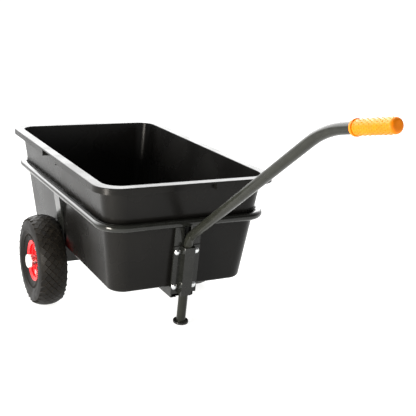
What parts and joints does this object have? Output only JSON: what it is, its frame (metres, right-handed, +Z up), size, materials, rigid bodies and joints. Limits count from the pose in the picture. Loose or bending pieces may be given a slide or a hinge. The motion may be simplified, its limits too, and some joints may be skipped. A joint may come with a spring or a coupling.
{
  "type": "garden cart",
  "caption": "Two-wheeled garden cart: a tapered plastic tub in a steel hoop on an axle beam, with a bent tube as its leg and pull handle",
  "frame": {"origin": "on the floor, under the middle of the parked cart's bounding box", "axes": "+X towards the pull handle and the foot, +Y across along the axle to the left wheel, +Z up; the cart stands leaned forward on its foot"},
  "size_m": [1.5287, 0.5678, 0.5294],
  "materials": {
    "tub_plastic": "semi-gloss moulded",
    "frame_paint": "gloss powder coat",
    "handle_paint": "satin powder coat",
    "zinc_steel": "bright zinc",
    "foot_plastic": "gloss moulded",
    "grip_plastic": "satin moulded",
    "cap_plastic": "gloss moulded",
    "tyre_rubber": "matt moulded",
    "tube_rubber": "matt",
    "rim_paint": "gloss enamel"
  },
  "bodies": {
    "frame": {"tub": "tub_plastic", "hoop": "frame_paint", "axle_beam": "frame_paint", "axle_rod": "zinc_steel", "keel": "frame_paint", "upright": "frame_paint", "clamp": "frame_paint", "clamp_bolts": "zinc_steel", "clamp_washers": "zinc_steel", "clamp_nuts": "zinc_steel", "foot": "foot_plastic", "handle": "handle_paint", "grip": "grip_plastic", "strap_left": "frame_paint", "axle_washers_left": "zinc_steel", "axle_cap_left": "cap_plastic", "strap_right": "frame_paint", "axle_washers_right": "zinc_steel", "axle_cap_right": "cap_plastic"},
    "wheel_left": {"tyre_left": "tyre_rubber", "inner_tube_left": "tube_rubber", "rim_outer_left": "rim_paint", "rim_inner_left": "rim_paint", "rim_bolts_left": "zinc_steel", "rim_nuts_left": "zinc_steel", "hub_left": "zinc_steel", "bearings_left": "zinc_steel", "valve_stem_left": "tube_rubber"},
    "wheel_right": {"tyre_right": "tyre_rubber", "inner_tube_right": "tube_rubber", "rim_outer_right": "rim_paint", "rim_inner_right": "rim_paint", "rim_bolts_right": "zinc_steel", "rim_nuts_right": "zinc_steel", "hub_right": "zinc_steel", "bearings_right": "zinc_steel", "valve_stem_right": "tube_rubber"}
  },
  "joints": [
    {"name": "wheel_left_spin", "type": "hinge", "parent": "frame", "child": "wheel_left", "pos_m": [-0.48281, 0.23842, 0.13], "axis": [0, 1, 0], "continuous": true},
    {"name": "wheel_right_spin", "type": "hinge", "parent": "frame", "child": "wheel_right", "pos_m": [-0.48281, -0.23842, 0.13], "axis": [0, 1, 0], "continuous": true}
  ]
}
